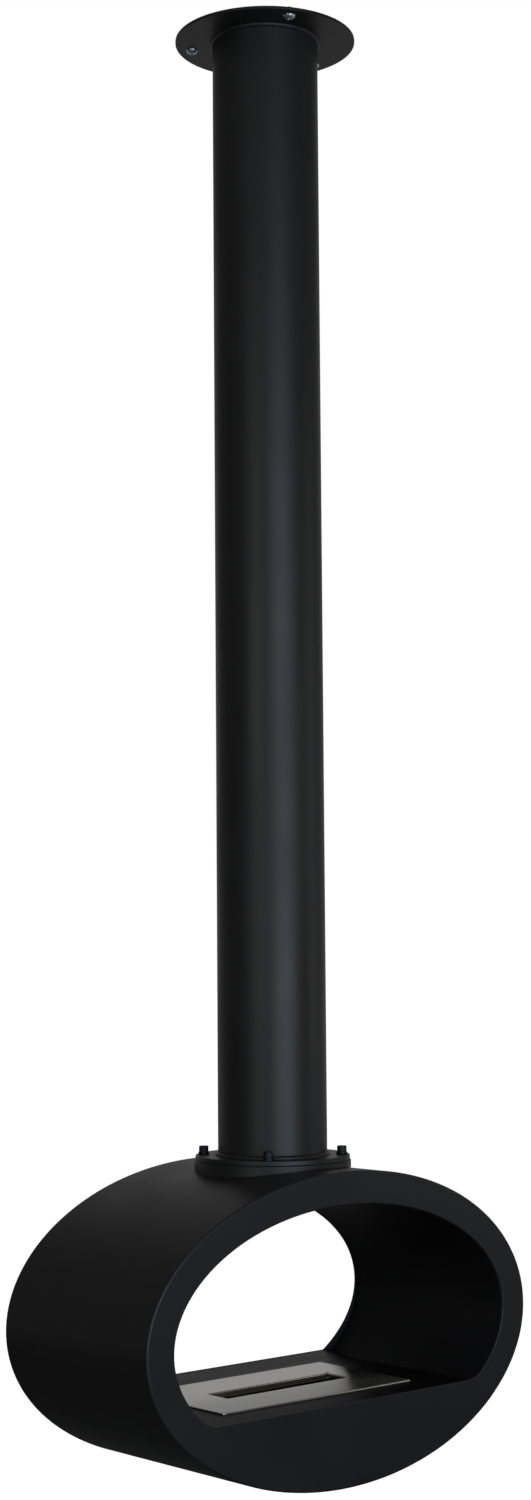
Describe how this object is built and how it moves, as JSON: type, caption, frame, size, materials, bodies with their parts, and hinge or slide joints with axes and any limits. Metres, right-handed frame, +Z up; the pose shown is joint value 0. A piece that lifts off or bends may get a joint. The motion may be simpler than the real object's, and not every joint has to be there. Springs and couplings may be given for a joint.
{
  "type": "hanging fireplace",
  "caption": "Elliptical steel drum, open front to back, hung from the ceiling on one round tube, with a lift-out slot burner and a sliding lid in its floor.",
  "frame": {"origin": "middle of the ceiling plate's upper face", "axes": "+Z up, +X along the width of the drum, the front face looks towards -Y"},
  "size_m": [0.68, 0.3, 2.005],
  "materials": {
    "black_coat": "matte powder coat on steel",
    "zinc_plate": "bright zinc plate",
    "dark_steel": "blackened steel",
    "stainless": "fine brushed stainless steel",
    "porous_ceramic": "open ceramic fibre"
  },
  "bodies": {
    "fireplace": {"ceiling_plate": "black_coat", "ceiling_screws": "zinc_plate", "ceiling_weld": "black_coat", "suspension_tube": "black_coat", "flange_weld": "black_coat", "tube_flange": "black_coat", "flange_bolts": "dark_steel", "spring_washers": "dark_steel", "flat_washers": "dark_steel", "flange_nuts": "dark_steel", "body_collar": "black_coat", "load_spreader": "black_coat", "outer_shell": "black_coat", "inner_liner": "black_coat", "front_face": "black_coat", "rear_face": "black_coat", "hearth_floor": "black_coat", "floor_supports": "black_coat"},
    "burner": {"burner_top_plate": "stainless", "burner_tank": "stainless", "ceramic_insert": "porous_ceramic", "insert_guard": "stainless", "slider_rails": "stainless"},
    "slider": {"slider_lid": "stainless", "slider_pin": "stainless"}
  },
  "joints": [
    {"name": "burner_lift", "type": "slide", "parent": "fireplace", "child": "burner", "axis": [0, 0, 1], "range_m": [0, 0.1]},
    {"name": "flame_slider", "type": "slide", "parent": "burner", "child": "slider", "axis": [0, -1, 0], "range_m": [0, 0.0374]}
  ]
}
